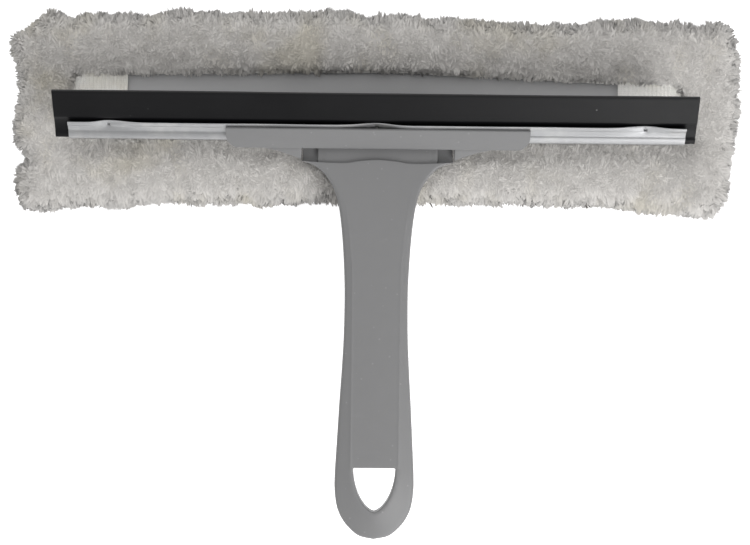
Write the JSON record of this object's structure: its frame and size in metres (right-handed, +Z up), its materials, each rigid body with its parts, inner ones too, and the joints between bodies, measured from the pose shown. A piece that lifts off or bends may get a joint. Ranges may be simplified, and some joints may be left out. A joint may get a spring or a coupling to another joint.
{
  "type": "window squeegee with plush washer",
  "caption": "Hand window cleaner: a rubber blade in a metal channel on a hanging-loop handle, over a plush-covered washer board.",
  "frame": {"origin": "under the middle of the whole tool, on the surface that its plush back lies on", "axes": "+Z up out of the board's front, +X along the blade, +Y from the handle's loop towards the blade"},
  "size_m": [0.376, 0.2706, 0.0507],
  "materials": {
    "plush": "off-white tufted pile",
    "knit": "ribbed knit",
    "hem": "woven tape",
    "grey_plastic": "satin moulded, fine texture",
    "board_plastic": "satin moulded",
    "aluminium": "satin anodised",
    "rubber": "smooth black",
    "screw_steel": "zinc plated"
  },
  "bodies": {
    "cover": {"cover_back_pile": "plush", "cover_back_knit": "knit", "cover_far_fold": "plush", "cover_near_fold": "plush", "cover_left_end": "plush", "cover_right_end": "plush", "knit_pocket_left": "knit", "knit_pocket_right": "knit", "slot_hem_far": "hem", "slot_hem_near": "hem"},
    "head": {"blade_jaw": "grey_plastic", "washer_board": "board_plastic", "board_screws": "screw_steel"},
    "handle": {"handle_front": "grey_plastic", "handle_back": "grey_plastic", "handle_screws": "screw_steel"},
    "blade": {"blade_channel": "aluminium", "rubber_blade": "rubber"}
  },
  "joints": [
    {"name": "cover_lift", "type": "slide", "parent": "cover", "child": "head", "axis": [0, 0, 1], "range_m": [0, 0.06], "deforming": ["cover_far_fold", "cover_near_fold", "knit_pocket_left", "knit_pocket_right", "slot_hem_far", "slot_hem_near"]},
    {"name": "handle_unplug", "type": "slide", "parent": "head", "child": "handle", "axis": [0, -1, 0], "range_m": [0, 0.03]},
    {"name": "blade_slide", "type": "slide", "parent": "head", "child": "blade", "axis": [1, 0, 0], "range_m": [-0.24, 0.24]}
  ]
}
